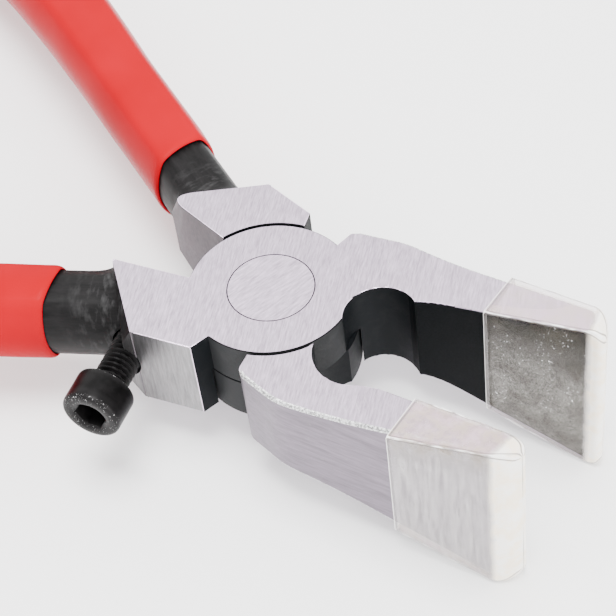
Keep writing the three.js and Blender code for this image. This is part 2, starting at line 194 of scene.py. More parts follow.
def brushed_steel(name, turn, level=0.45, roughness=0.36, grain=(0.45, 4.2), flat=True):
    """Bright ground steel. The grain runs along turn: (marks per mm along it, marks per mm across)."""
    s = Shader(name)
    along, across = grain
    third = along if flat else across
    lines = s.noise(s.place(turn, (along, across, third)), detail=4.0, roughness=0.7)
    broad = s.noise(s.place(turn, (along * 0.3, across * 0.12, third * 0.3)), detail=2.0)
    scratches = s.noise(s.place(turn + 0.5, (along * 0.5, across * 1.3, third)), detail=2.0)
    fleck = s.span(scratches, 0.66, 0.8, 0, 0.5)
    shade = s.math("ADD", s.span(lines, 0.25, 0.75, -0.42, 0.42), s.span(broad, 0.3, 0.7, -0.06, 0.06))
    value = s.math("MULTIPLY", s.math("ADD", shade, 1.0), level)
    tone = s.add("CombineColor", {
        0: value, 1: s.math("MULTIPLY", value, LAVENDER[1]), 2: s.math("MULTIPLY", value, LAVENDER[2]),
    }).outputs[0]
    colour = s.blend(fleck, tone, grey(min(level * 1.5, 1.0)))
    rough = s.math("ADD", s.span(lines, 0.3, 0.7, -0.06, 0.06), roughness)
    s.set(Base_Color=colour, Metallic=0.92, Roughness=rough, Normal=s.bump(lines, 0.02, 0.6))
    return s.material


def burred_steel(name):
    """The rough, sparkling edge that grinding leaves."""
    s = Shader(name)
    grains = s.noise(s.place(), scale=3.4, detail=4.0, roughness=0.85)
    sparkle = s.span(grains, 0.4235, 0.6)
    s.set(
        Base_Color=s.blend(sparkle, grey(0.2), grey(1.0)),
        Metallic=0.8, Roughness=0.4, Normal=s.bump(grains, 0.06, 0.9),
    )
    return s.material


def shoulder_steel(name, turn):
    """The shoulder's outer side, streaked from top to bottom, with painted shade towards the handle."""
    s = Shader(name)
    place = s.place(turn)
    streaks = s.noise(s.place(turn, (2.6, 2.6, 0.22)), detail=4.0, roughness=0.7)
    cloud = s.noise(place, scale=0.16, detail=3.0)
    along = s.add("SeparateXYZ", {0: place}).outputs[0]
    # Painted shade: the value falls to 0.6 towards the handle, behind the stop screw.
    painted_screw_shade = s.span(s.math("ADD", along, s.math("MULTIPLY", cloud, 5.0)), -12.5, -8.0, 0.6, 1.0)
    value = s.math("MULTIPLY", s.span(streaks, 0.25, 0.75, 0.15, 0.35), painted_screw_shade)
    tone = s.add("CombineColor", {0: value, 1: s.math("MULTIPLY", value, 0.97), 2: value}).outputs[0]
    s.set(Base_Color=tone, Metallic=0.92, Roughness=0.38, Normal=s.bump(streaks, 0.02, 0.6))
    return s.material


def black_oxide(name, level=0.004, roughness=0.55, wear=0.15, tint=(0.75, 1.0, 1.25)):
    """Blackened steel with a faint mottle, and greyer where it has rubbed."""
    s = Shader(name)
    place = s.place()
    cloud = s.noise(place, scale=0.35, detail=5.0, roughness=0.65, distortion=0.6)
    fine = s.noise(place, scale=3.2, detail=3.0, roughness=0.7)
    rubbed = s.math("MULTIPLY", s.span(cloud, 0.5, 0.72), wear)
    base = s.blend(s.span(fine, 0.3, 0.75), grey(level * 0.6, tint), grey(level * 1.5, tint))
    colour = s.blend(rubbed, base, grey(level * 5 + 0.01, (1.0, 0.98, 1.0)))
    rough = s.math("ADD", s.span(fine, 0.3, 0.7, -0.06, 0.08), roughness)
    s.set(
        Base_Color=colour, Metallic=0.1, Roughness=rough, Specular_IOR_Level=0.09,
        Normal=s.bump(fine, 0.012, 0.5),
    )
    return s.material


def tang_steel(name, turn):
    """The handle's steel: dark grey, satin, rubbed lengthwise and paler by the shoulder."""
    s = Shader(name)
    place = s.place(turn)
    streaks = s.noise(s.place(turn, (0.3, 1.3, 1.3)), detail=5.0, roughness=0.7)
    smears = s.noise(s.place(turn, (1.1, 0.45, 0.45)), detail=4.0, roughness=0.6)
    blotches = s.noise(place, scale=0.45, detail=5.0, roughness=0.7)
    base = s.blend(s.span(streaks, 0.3, 0.75), grey(0.004), grey(0.011, (1.04, 0.96, 1.0)))
    base = s.blend(s.span(blotches, 0.5, 0.7, 0, 0.6), base, grey(0.003))
    along = s.add("SeparateXYZ", {0: place}).outputs[0]
    by_shoulder = s.span(along, -TANG_RUB[0], -TANG_RUB[1], 0.0, 0.5)
    rub = s.math("MULTIPLY", s.span(smears, 0.5, 0.7), by_shoulder)
    colour = s.blend(rub, base, grey(0.05, (1.0, 0.98, 1.0)))
    rough = s.math("ADD", s.span(streaks, 0.3, 0.7, -0.07, 0.07), 0.42)
    s.set(
        Base_Color=colour, Metallic=0.1, Roughness=rough, Specular_IOR_Level=0.07,
        Normal=s.bump(streaks, 0.02, 0.5),
    )
    return s.material


def satin_grey(name):
    """The shoulder's inner wall: a dull violet grey, like scaled steel."""
    s = Shader(name)
    grain = s.noise(s.place(0, (2.4, 2.4, 1.1)), detail=5.0, roughness=0.75)
    cloud = s.noise(s.place(), scale=0.3, detail=3.0)
    base = s.blend(s.span(grain, 0.3, 0.7), grey(0.08, VIOLET), grey(0.15, VIOLET))
    colour = s.blend(s.span(cloud, 0.35, 0.75, 0, 0.5), base, grey(0.06, VIOLET))
    s.set(Base_Color=colour, Metallic=0.55, Roughness=0.5, Normal=s.bump(grain, 0.02, 0.5))
    return s.material


def jaw_place(s, side):
    """A jaw's own place: all of it, how far along, how high, and how deep below its top edge."""
    place = s.place(HALF_OPEN if side == "a" else -HALF_OPEN)
    parts = s.add("SeparateXYZ", {0: place})
    along, height = parts.outputs[0], parts.outputs[2]
    edge = s.math("MULTIPLY", s.math("SUBTRACT", along, FLARE_START), FLARE_RISE)
    return place, along, height, s.math("SUBTRACT", edge, height)


def jaw_inside(name, side):
    """The jaw's inner face: black oxide, and bare mottled steel under the clear cover."""
    s = Shader(name)
    place, along, height, depth = jaw_place(s, side)
    bare = s.span(along, COVER_START[0] - 0.2, COVER_START[0] + 0.1)
    fine = s.noise(place, scale=3.4, detail=4.0, roughness=0.75)
    cloud = s.noise(place, scale=0.22, detail=5.0, roughness=0.6, distortion=0.5)
    dark = s.blend(s.span(fine, 0.3, 0.75), grey(0.001, BLUE_BLACK), grey(0.006, BLUE_BLACK))
    low = s.blend(s.span(cloud, 0.35, 0.65), grey(0.09, (1, 0.9, 0.76)), grey(0.26, (1, 0.95, 0.88)))
    stain = s.blend(s.span(cloud, 0.4, 0.62), grey(0.014, (1, 0.88, 0.74)), grey(0.07, (1, 0.9, 0.72)))
    ragged_height = s.math("ADD", height, s.math("MULTIPLY", cloud, 11.0))
    mottled = s.blend(s.span(ragged_height, 1.0, 8.5), low, stain)
    grained = s.blend(s.span(fine, 0.42, 0.62, 0, 0.75), mottled, grey(0.02, (1, 0.93, 0.84)))
    shaded = s.blend(s.span(depth, 0.6, 1.2, 0.95, 0.0), grained, grey(0.006))
    # Painted glints: bright white specks scattered over the bare steel.
    glint_speck = s.span(s.noise(place, scale=3.2, detail=3.0, roughness=0.7), 0.645, 0.66)
    covered = s.blend(s.math("MULTIPLY", glint_speck, s.span(cloud, 0.5, 0.56)), shaded, grey(1.0))
    s.set(
        Base_Color=s.blend(bare, dark, covered),
        Metallic=s.span(bare, 0, 1, 0.0, 0.75), Specular_IOR_Level=0.04,
        Roughness=s.span(bare, 0, 1, 0.55, 0.36),
        Normal=s.bump(fine, 0.02, 0.6),
    )
    return s.material


def red_vinyl(name):
    """Glossy dipped vinyl with the faint sags and ripples of a dipped skin."""
    s = Shader(name)
    place = s.place()
    sag = s.noise(place, scale=0.09, detail=2.0)
    peel = s.noise(place, scale=1.1, detail=2.0)
    colour = s.blend(s.span(sag, 0.3, 0.7), (0.31, 0.0003, 0.006, 1), (0.35, 0.0005, 0.008, 1))
    rough = s.span(peel, 0.3, 0.7, 0.2, 0.25)
    height = s.math("ADD", s.math("MULTIPLY", sag, 3.0), s.math("MULTIPLY", peel, 0.12))
    s.set(
        Base_Color=colour, Roughness=rough, IOR=1.5, Specular_IOR_Level=0.015,
        Normal=s.bump(height, 0.04, 0.4),
    )
    return s.material


def clear_vinyl(name, side, haze):
    """Clear soft film, milky at the nose, with painted highlights on its creases and painted shade beside.
    """
    s = Shader(name)
    place, along, _, depth = jaw_place(s, side)
    streaks = s.noise(s.place(HALF_OPEN if side == "a" else -HALF_OPEN, (1.6, 1.6, 0.2)), detail=3.0)
    cloud = s.noise(place, scale=0.5, detail=4.0, roughness=0.6)
    mottle = s.span(cloud, 0.4, 0.62)
    crease = s.add("Attribute", attribute_name="crease").outputs["Fac"]
    # Painted highlight: a near-white line along each crease. Painted shade: a dark line beside it.
    line = s.span(crease, 0.74, 0.92)
    beside = s.math("MULTIPLY", s.span(crease, 0.1, 0.3), s.span(crease, 0.5, 0.72, 1.0, 0.0))
    up = s.add("SeparateXYZ", {0: s.add("NewGeometry").outputs["Normal"]}).outputs[2]
    top = s.span(up, 0.6, 0.85)
    ragged_end = s.math("ADD", along, s.math("MULTIPLY", cloud, 0.8))
    nose = s.span(ragged_end, JAW_TIP_X - 0.1, JAW_TIP_X + 0.9)
    stained = s.math("MULTIPLY", s.span(depth, 0.8, 4.5, 0.9, 0.0), s.span(cloud, 0.36, 0.54))

    side_tone = s.blend(stained, (0.80, 0.76, 0.75, 1), (0.26, 0.21, 0.16, 1))
    top_tone = s.blend(mottle, (0.62, 0.45, 0.50, 1), (0.60, 0.48, 0.40, 1))
    nose_tone = s.blend(mottle, (1.0, 0.97, 0.91, 1), (1.0, 0.88, 0.70, 1))
    body = s.blend(nose, s.blend(top, side_tone, top_tone), nose_tone)
    # Painted shade beside each crease, then the painted highlight along it.
    body = s.blend(s.math("MULTIPLY", beside, 0.8), body, (0.10, 0.09, 0.09, 1))
    body = s.blend(line, body, (1.0, 0.99, 0.97, 1))

    film = s.math("ADD", s.span(streaks, 0.3, 0.7, haze * 0.5, haze * 1.5), s.math("MULTIPLY", top, 0.28))
    layers = ((beside, 0.6), (line, 0.95), (stained, haze * 3.0), (nose, 0.92))
    for mask, strength in layers:
        film = s.math("MAXIMUM", film, s.math("MULTIPLY", mask, strength))
    s.set(Base_Color=body, Roughness=0.2, IOR=1.5, Alpha=film, Normal=s.bump(cloud, 0.08, 0.4))
    return s.material


def screw_black(name):
    """Oiled black oxide, lighter with bright specks on its edges: partly wear, partly painted glints."""
    s = Shader(name)
    place = s.place()
    fine = s.noise(place, scale=5.0, detail=4.0, roughness=0.75)
    cloud = s.noise(place, scale=0.6, detail=3.0)
    # Bright specks on the worn rims: partly bare steel, partly painted glints.
    glint_speck = s.span(s.noise(place, scale=3.6, detail=4.0, roughness=0.8), 0.63, 0.67)
    wear_and_glint = s.add("Attribute", attribute_name="crease").outputs["Fac"]
    base = s.blend(s.span(cloud, 0.35, 0.7), grey(0.001), grey(0.005, (1.05, 0.97, 1.0)))
    rubbed = s.blend(s.math("MULTIPLY", wear_and_glint, 0.7), base, grey(0.012, (1.03, 0.97, 1.0)))
    colour = s.blend(s.math("MULTIPLY", glint_speck, s.span(wear_and_glint, 0.5, 1.0)), rubbed, grey(0.8))
    rough = s.span(fine, 0.3, 0.7, 0.28, 0.42)
    s.set(
        Base_Color=colour, Metallic=0.1, Roughness=rough, Specular_IOR_Level=0.07,
        Normal=s.bump(fine, 0.02, 0.5),
    )
    return s.material


# Meshes -----------------------------------------------------------------------------------------

def finish_piece(name, mesh, side, materials, nodes, body=None):
    made = bpy.data.objects.new(name, mesh)
    bpy.context.scene.collection.objects.link(made)
    for material in materials:
        mesh.materials.append(material)
    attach(made, body or BODY[side])
    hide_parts(*nodes)
    return made


def loft_mesh(name, rings, transform, crease=None, sharp_angle=50.0):
    """A closed skin over rings of points, each end fanned to its middle."""
    count = len(rings[0])
    points = [transform @ Vector(p) for ring in rings for p in ring]
    faces = []
    for r in range(len(rings) - 1):
        for i in range(count):
            j = (i + 1) % count
            low, high = r * count, (r + 1) * count
            faces.append((low + i, low + j, high + j, high + i))
    for r, flip in ((0, True), (len(rings) - 1, False)):
        ring = range(r * count, (r + 1) * count)
        points.append(sum((points[i] for i in ring), Vector()) / count)
        middle = len(points) - 1
        for i in range(count):
            a, b = ring[i], ring[(i + 1) % count]
            faces.append((b, a, middle) if flip else (a, b, middle))
    mesh = bpy.data.meshes.new(name)
    mesh.from_pydata([tuple(p) for p in points], [], faces)
    work = bmesh.new()
    work.from_mesh(mesh)
    bmesh.ops.recalc_face_normals(work, faces=work.faces)
    for edge in work.edges:
        edge.smooth = len(edge.link_faces) < 2 or edge.calc_face_angle() < math.radians(sharp_angle)
    for face in work.faces:
        face.smooth = True
    work.to_mesh(mesh)
    work.free()
    if crease is not None:
        values = [c for ring in crease for c in ring] + [0.0, 0.0]
        attribute = mesh.attributes.new("crease", "FLOAT", "POINT")
        attribute.data.foreach_set("value", values)
    return mesh


# Handles and grips ------------------------------------------------------------------------------

def handle_place(distance, offset):
    """A place on the handle's centre line, with the directions out to its side and along it."""
    bent = min(max(distance, BEND_START), BEND_END) - BEND_START
    bend = -HANDLE_TURN / (BEND_END - BEND_START)
    angle = HANDLE_HEADING + bend * bent
    before = min(distance, BEND_START)
    after = max(distance - BEND_END, 0)
    x = before * math.cos(HANDLE_HEADING) + after * math.cos(angle)
    y = before * math.sin(HANDLE_HEADING) + after * math.sin(angle)
    x += (math.sin(angle) - math.sin(HANDLE_HEADING)) / bend
    y -= (math.cos(angle) - math.cos(HANDLE_HEADING)) / bend
    x -= offset * math.sin(HANDLE_HEADING)
    y += offset * math.cos(HANDLE_HEADING)
    out = Vector((-math.sin(angle), math.cos(angle), 0))
    along = Vector((math.cos(angle), math.sin(angle), 0))
    return Vector((x, y, MID_Z)), out, along


RIDGE = (0.68, 0.89)  # where the section's ridges lie, in half widths and half heights
SECTION_STEPS = 11
SOFTENING_PASSES = 3


def section():
    """The handle's section: a crowned top and bottom and bowed sides that meet in soft ridges."""
    ridge_u, ridge_v = RIDGE
    quarter = []
    for i in range(SECTION_STEPS):
        u = ridge_u * i / SECTION_STEPS
        quarter.append((u, 1 - (1 - ridge_v) * (u / ridge_u) ** 2))
    for i in range(SECTION_STEPS):
        v = ridge_v * (1 - i / SECTION_STEPS)
        quarter.append((1 - (1 - ridge_u) * (v / ridge_v) ** 2, v))
    quarter.append((1.0, 0.0))
    lower = [(u, -v) for u, v in reversed(quarter[:-1])]
    right = quarter + lower
    left = [(-u, v) for u, v in reversed(right[1:-1])]
    loop = right + left
    for _ in range(SOFTENING_PASSES):
        count = len(loop)
        loop = [
            tuple((loop[i - 1][k] + 2 * loop[i][k] + loop[(i + 1) % count][k]) / 4 for k in (0, 1))
            for i in range(count)
        ]
    return loop


SECTION = section()
WOBBLE_SCALE = 0.09  # how quickly a dipped skin's unevenness changes, per mm


def handle_ring(distance, offset, width, height, skew=0.0, wobble=0.0):
    centre, out, along = handle_place(distance, offset)
    ring = []
    for u, v in SECTION:
        place = centre + (out + along * skew) * (u * width / 2) + Vector((0, 0, v * height / 2))
        if wobble:
            away = (place - centre).normalized()
            place += away * wobble * noise.noise(place * WOBBLE_SCALE)
        ring.append(place)
    return ring


def smooth_step(x):
    x = min(max(x, 0.0), 1.0)
    return x * x * (3 - 2 * x)


BORE_STEPS, LIP_STEPS, SKEW_STEPS, GRIP_STEPS, END_STEPS = 60, 8, 3, 70, 12
GRIP_WOBBLE = 0.16
SKEW_LENGTH = 4.0  # the skewed mouth runs out this far along
BORE_SLACK = 0.3
MOUTH_DEPTH = 3.0  # the bore's evenly spaced rings are counted from this far inside its mouth
MOUTH_RINGS = ((1.0, 0.25), (0.25, 0.35))  # depth inside the mouth, and the slack there
END_FULLNESS, END_SMALLEST = 2.4, 0.1  # a fullness of 2 would make the end elliptical


def build_grip(side, material):
    offset, start = HANDLE_OFFSET[side], GRIP_START[side]

    def outer(distance, scale=1.0, inset=0.0, skew=0.0, wobble=GRIP_WOBBLE):
        swell = smooth_step((distance - start) / GRIP_SWELL_LENGTH)
        width, height = (
            (size + extra * swell) * scale - inset for size, extra in zip(GRIP_SIZE, GRIP_SWELL)
        )
        return handle_ring(distance, offset, width, height, skew, wobble)

    def bore(distance, extra, skew=0.0):
        return handle_ring(distance, offset, TANG_SIZE[0] + extra, TANG_SIZE[1] + extra, skew)

    rings = [bore(CORE_END + BORE_SLACK, BORE_SLACK)]
    bore_start = start + MOUTH_DEPTH
    for i in range(BORE_STEPS, 0, -1):
        rings.append(bore(bore_start + (CORE_END - bore_start) * i / BORE_STEPS, BORE_SLACK))
    for depth, slack in MOUTH_RINGS:
        rings.append(bore(start + depth, slack, GRIP_SKEW))

    for i in range(LIP_STEPS + 1):
        turn = i / LIP_STEPS
        inset = 2 * GRIP_LIP * (1 - math.sin(turn * math.pi / 2))
        rings.append(outer(start + GRIP_LIP_LENGTH * turn ** 2, 1.0, inset, GRIP_SKEW, 0.0))
    for i in range(1, SKEW_STEPS + 1):
        share = i / SKEW_STEPS
        distance = start + GRIP_LIP_LENGTH + (SKEW_LENGTH - GRIP_LIP_LENGTH) * share
        rings.append(outer(distance, skew=GRIP_SKEW * (1 - share), wobble=GRIP_WOBBLE * share))

    straight_start, straight_end = start + SKEW_LENGTH, GRIP_END - GRIP_END_ROUND
    for i in range(1, GRIP_STEPS + 1):
        rings.append(outer(straight_start + (straight_end - straight_start) * i / GRIP_STEPS))
    for i in range(1, END_STEPS + 1):
        turn = math.sin(i / END_STEPS * math.pi / 2)
        scale = max(math.sqrt(1 - min(turn, 1) ** END_FULLNESS), END_SMALLEST)
        rings.append(outer(straight_end + GRIP_END_ROUND * turn, scale))
    mesh = loft_mesh("grip_skin_" + side, rings, closed_frame(side))
    return finish_piece("grip_skin_" + side, mesh, side, [material], ["grip_" + side])


# The two forgings -------------------------------------------------------------------------------

EDGE_ROUND = 0.12
BURR_ROUND = {"a": 0.2, "b": 0.45}
BORE_ROUND = 0.07
LEDGE = 0.03  # steps smaller than this are merged away
FLAT_ANGLE = math.radians(0.8)
CORNER_ANGLE = math.radians(30)
SMOOTH_ANGLE, HANDLE_SMOOTH_ANGLE = math.radians(34), math.radians(60)
SHORTEST_ROUNDED = 0.25

# Where the finishes change, in a half's closed frame.
FACE_SLACK = 0.5
NEARBY = 0.3  # an edge counts as being at a place when it is this near
LAP_GAP_MIDDLE = 0.15  # about how far outside the disc's wall the middle of the gap round it lies
CLEAR_OF_LAP = LAP_RADIUS + 0.1
SEAM_BAND = 0.2  # an edge this near the mid plane lines the seam between the two halves
FLARED_FROM_X = 12.0
JAW_SIDE_FROM_X, TIP_FROM_X = 6.2, JAW_TIP_X - 0.8
INSIDE_FROM_X, INSIDE_BELOW_Y = 18.0, 6.0
SHOULDER_SIDE_Y, SHOULDER_FROM_X, SHOULDER_CORNER_X = -12.0, -17.0, -14.63
WALL_TO_X, WALL_Y = -7.0, (-2.2, -0.5)
TANG_TO_X = -12.0
SHARP_BEHIND_X = -12.5  # the shoulder's upright edges behind this stay as forged

# Of these kinds, the last is painted shade: black on rounded rims along the seam and round the rivet.
KINDS = (
    "top", "jaw_side", "shoulder_side", "black", "disc_wall", "tang", "wall", "inside",
    "edge", "burr", "gap_shade",
)
TOP, JAW_SIDE, SHOULDER_SIDE, TANG = (
    KINDS.index(kind) for kind in ("top", "jaw_side", "shoulder_side", "tang")
)
BRIGHT = {TOP, JAW_SIDE, SHOULDER_SIDE}  # a rounded-over edge next to one of these is bright too


def face_kind(centre, normal):
    """Which finish a face of a forging has, from its place and direction in the closed frame.

    A normal's parts are cosines, so one past 0.5 faces within 60 degrees of that axis.
    """
    x, y, z = centre
    radius = math.hypot(x, y)
    outward = Vector((x, y, 0)).normalized()
    in_head_face = z > -FACE_SLACK or z < FACE_SLACK - HEAD_THICKNESS
    if abs(normal.z) > 0.85 and (in_head_face or x > FLARED_FROM_X):
        return "top"
    if x > JAW_SIDE_FROM_X and normal.y > 0.5 and normal.x > -0.6 and radius > CLEAR_OF_LAP:
        return "jaw_side"
    if x > TIP_FROM_X and normal.x > 0.5:
        return "jaw_side"
    if normal.y < -0.8 and y < SHOULDER_SIDE_Y and x > SHOULDER_FROM_X:
        ridge_flank = normal.y > -0.95 and x < SHOULDER_CORNER_X
        return "wall" if ridge_flank else "shoulder_side"
    if normal.y < -0.5 and x > INSIDE_FROM_X and y < INSIDE_BELOW_Y:
        return "inside"
    if normal.y > 0.7 and x < WALL_TO_X and WALL_Y[0] < y < WALL_Y[1]:
        return "wall"
    if x < TANG_TO_X:
        return "tang"
    if abs(radius - LAP_RADIUS) < LAP_GAP_MIDDLE and normal.dot(outward) > 0.9:
        return "disc_wall"
    return "black"


def kinds_beside(edge):
    return {face.material_index for face in edge.link_faces}


def rim_finish(near, face):
    """A rounded edge is painted near-white beside bright steel, partly as wear and partly as a painted
    highlight, but black where it lines the lap's seam, as painted shade of the gap.
    """
    centre = face.calc_center_median()
    in_lap = abs(math.hypot(centre.x, centre.y) - LAP_RADIUS - LAP_GAP_MIDDLE) < NEARBY
    return "edge" if near & BRIGHT and not in_lap else "gap_shade"


def along_a_flat(a, b):
    """True for an edge that lies in the head's top or bottom face."""
    return min(a.z, b.z) > -NEARBY or max(a.z, b.z) < NEARBY - HEAD_THICKNESS


def round_over(work, edges, offset, segments, paint):
    """Rounds edges over. paint gives a new face's finish from the kinds beside it and the face."""
    made = bmesh.ops.bevel(
        work, geom=edges, offset=offset, offset_type="OFFSET", segments=segments, profile=0.5,
        affect="EDGES", clamp_overlap=False, material=-1,
    )
    strip = set(made["faces"])
    for face in strip:
        near = {o.material_index for e in face.edges for o in e.link_faces if o not in strip}
        face.material_index = KINDS.index(paint(near, face))


def painted_forging(side):
    """The CAD's forging in its closed frame, its flat faces merged and each with its finish."""
    work = bmesh.new()
    work.from_mesh(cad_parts["half_" + side].data)
    bmesh.ops.transform(work, matrix=closed_frame(side).inverted(), verts=work.verts)
    bmesh.ops.remove_doubles(work, verts=work.verts, dist=LEDGE)
    bmesh.ops.dissolve_limit(work, angle_limit=FLAT_ANGLE, verts=work.verts, edges=work.edges)
    work.normal_update()
    for face in work.faces:
        kind = face_kind(face.calc_center_median(), face.normal)
        face.material_index = KINDS.index(kind)
    return work


def corners_to_round(work):
    """The forging's outward corners: the burred ones, the bore's rims, and the others to round."""
    burred, bored, rounded = [], [], []
    for edge in work.edges:
        if len(edge.link_faces) != 2 or not edge.is_convex:
            continue
        beside = kinds_beside(edge)
        if edge.calc_face_angle() < CORNER_ANGLE or TANG in beside:
            continue
        a, b = edge.verts[0].co, edge.verts[1].co
        in_seam = max(abs(a.z - MID_Z), abs(b.z - MID_Z)) < SEAM_BAND
        if max(math.hypot(a.x, a.y), math.hypot(b.x, b.y)) < RIVET_RADIUS + NEARBY:
            bored.append(edge)
        elif beside == {TOP, JAW_SIDE}:
            burred.append(edge)
        elif min(a.x, b.x) < SHARP_BEHIND_X and not along_a_flat(a, b):
            continue
        elif (beside & BRIGHT or in_seam) and edge.calc_length() > SHORTEST_ROUNDED:
            rounded.append(edge)
    return burred, bored, rounded


def build_forging(side, materials):
    work = painted_forging(side)
    burred, bored, rounded = corners_to_round(work)
    round_over(work, burred, BURR_ROUND[side], 3, lambda near, face: "burr")
    # The bore's rims are painted black: painted shade of the gap round the rivet.
    round_over(work, bored, BORE_ROUND, 1, lambda near, face: "gap_shade")
    round_over(work, [edge for edge in rounded if edge.is_valid], EDGE_ROUND, 2, rim_finish)
    work.normal_update()
    for edge in work.edges:
        limit = HANDLE_SMOOTH_ANGLE if kinds_beside(edge) == {TANG} else SMOOTH_ANGLE
        edge.smooth = len(edge.link_faces) < 2 or edge.calc_face_angle() < limit
    for face in work.faces:
        face.smooth = True
    bmesh.ops.transform(work, matrix=closed_frame(side), verts=work.verts)
    mesh = bpy.data.meshes.new("forging_" + side)
    work.to_mesh(mesh)
    work.free()
    chosen = [materials[kind] for kind in KINDS]
    made = finish_piece("forging_" + side, mesh, side, chosen, ["half_" + side])
    flat = made.modifiers.new("flat_faces", "WEIGHTED_NORMAL")
    flat.weight = 100
    flat.keep_sharp = True
    return made


# The stop screw ---------------------------------------------------------------------------------

SCREW_SEGMENTS = 72
RINGS_PER_TURN = 12
POINT_RADIUS, POINT_CHAMFER, POINT_LENGTH = 1.7, 0.3, 0.05
TAPER_LENGTH, TAPER_RISE = 0.7, 0.75
FLANK_STEEPNESS, FLANK_DROP = 1.35, 0.12  # these leave the thread a flat root and a flat crest
THREAD_STOP = 0.25  # the thread ends this far from the head
# The thread crests are painted a little lighter: partly wear, partly painted glints.
CREST_BAND, CREST_WEAR_AND_GLINT = 0.05, 0.48
HEAD_SIDE_STEPS, HEAD_SIDE_LENGTH = 7, SCREW_HEAD_LENGTH - 1.0
RIM_ROUND = 0.62

# The rings at the head's two ends. Each has its place along the screw, its radius and how worn it
# is, and the wear also places the painted glints. HEAD_BACK leads out from the shank, its places
# counted from the underside. HEAD_FACE runs inward over the front, its places counted from the
# front face.
HEAD_BACK = (
    (0.12, THREAD_RADIUS - 0.15, 0.0),
    (0.0, THREAD_RADIUS + 0.1, 0.0),
    (0.0, SCREW_HEAD_RADIUS - 0.25, 0.6),
    (-0.12, SCREW_HEAD_RADIUS - 0.06, 1.0),
    (-0.3, SCREW_HEAD_RADIUS, 0.6),
)
HEAD_FACE = ((0.0, 3.1, 0.7), (0.0, 2.5, 0.8), (0.1, 2.36, 0.9))
SOCKET_MOUTH_RADIUS, SOCKET_MOUTH_DEPTH = 2.32, 0.3
DRILL_RADIUS, DRILL_DEPTH = 0.6, 0.5  # where the drill's cone ends, below the hexagon


def screw_ring(y, radius_at):
    ring = []
    for i in range(SCREW_SEGMENTS):
        angle = 2 * math.pi * i / SCREW_SEGMENTS
        radius = radius_at(angle)
        ring.append((radius * math.cos(angle), y, radius * math.sin(angle)))
    return ring


def thread_radius(y, angle):
    phase = (y / THREAD_PITCH + angle / (2 * math.pi)) % 1.0
    flank = min(max(FLANK_STEEPNESS * (1 - abs(2 * phase - 1)) - FLANK_DROP, 0.0), 1.0)
    return THREAD_RADIUS - THREAD_DEPTH * (1 - flank)


def hex_radius(angle):
    return HEX_APOTHEM / math.cos((angle % (math.pi / 3)) - math.pi / 6)


def build_screw(material):
    rings, wear_and_glint = [], []

    def ring(y, radius_at, wear=0.0):
        fixed = radius_at if callable(radius_at) else lambda angle: radius_at
        rings.append(screw_ring(y, fixed))
        wear_and_glint.append([wear] * SCREW_SEGMENTS)

    def thread_ring(y, taper):
        widest = POINT_RADIUS + TAPER_RISE * taper
        points = screw_ring(y, lambda angle: min(thread_radius(y, angle), widest))
        crest = THREAD_RADIUS - CREST_BAND
        rings.append(points)
        wear_and_glint.append([CREST_WEAR_AND_GLINT if math.hypot(x, z) > crest else 0.0 for x, _, z in points])

    ring(SCREW_LENGTH, POINT_RADIUS - POINT_CHAMFER)
    thread_end = SCREW_LENGTH - POINT_LENGTH
    ring(thread_end, POINT_RADIUS)
    steps = int(SCREW_LENGTH / THREAD_PITCH * RINGS_PER_TURN)
    for i in range(1, steps):
        y = thread_end - (thread_end - THREAD_STOP) * i / steps
        thread_ring(y, min(1.0, (SCREW_LENGTH - y) / TAPER_LENGTH))
    for y, radius, wear in HEAD_BACK:
        ring(y, radius, wear)
    side_start = HEAD_BACK[-1][0]
    for i in range(1, HEAD_SIDE_STEPS + 1):
        wear = 0.0 if i < HEAD_SIDE_STEPS - 1 else 0.5
        ring(side_start - HEAD_SIDE_LENGTH * i / HEAD_SIDE_STEPS, SCREW_HEAD_RADIUS, wear)

    front = -SCREW_HEAD_LENGTH
    for turn in (0.25, 0.5, 0.75, 1.0):
        drop = RIM_ROUND * (1 - math.cos(turn * math.pi / 2))
        rise = RIM_ROUND * (1 - math.sin(turn * math.pi / 2))
        ring(front + rise, SCREW_HEAD_RADIUS - drop, 1.0)
    for depth, radius, wear in HEAD_FACE:
        ring(front + depth, radius, wear)
    mouth = front + SOCKET_MOUTH_DEPTH
    ring(mouth, lambda angle: min(hex_radius(angle), SOCKET_MOUTH_RADIUS), 0.5)
    ring(front + HEX_DEPTH * 0.5, hex_radius)
    ring(front + HEX_DEPTH, hex_radius)
    ring(front + HEX_DEPTH + DRILL_DEPTH, DRILL_RADIUS)
    seat = Matrix.Translation((SCREW_X, SCREW_UNDERSIDE_Y, MID_Z))
    mesh = loft_mesh("stop_screw_m5", rings, closed_frame("a") @ seat, wear_and_glint, 38.0)
    return finish_piece(
        "stop_screw_m5", mesh, "a", [material], ["stop_screw"], "stop_screw",
    )


# The jaw covers ---------------------------------------------------------------------------------

NOSE_ROUND = {"outer": 2.7, "inner": 1.0, "top": 2.3}
FLAT_STEPS, CORNER_STEPS = 14, 6
CORNER_ROUND, NOSE_CORNER_GROWTH, LINING_CORNER = 0.45, 0.7, 0.25
LINING_STEPS, SIDE_STEPS, NOSE_STEPS = 24, 40, 14
NOSE_SHARE = 0.82  # the part of the cover's length that lies before the rounded nose
SEAM_CREASE, SEAM_FADE = 1.6, 60.0  # strength at the seam, and how fast it fades along the cover
FOLD_HEIGHT, SAG_HEIGHT = 0.16, 0.05
FOLD_SCALE, SAG_SCALE = (0.55, 3.0), 0.35  # noise scales; a fold's are along the cover and round it
CORNER_CREASE, FOLD_CREASE = 0.75, 0.8  # how creased a corner is, and how much a fold adds


def rounded_inset(radius, from_end):
    """How far a rounded end has drawn in, at a distance before the end."""
    if from_end >= radius:
        return 0.0
    return radius - math.sqrt(max(radius ** 2 - (radius - from_end) ** 2, 0.0))


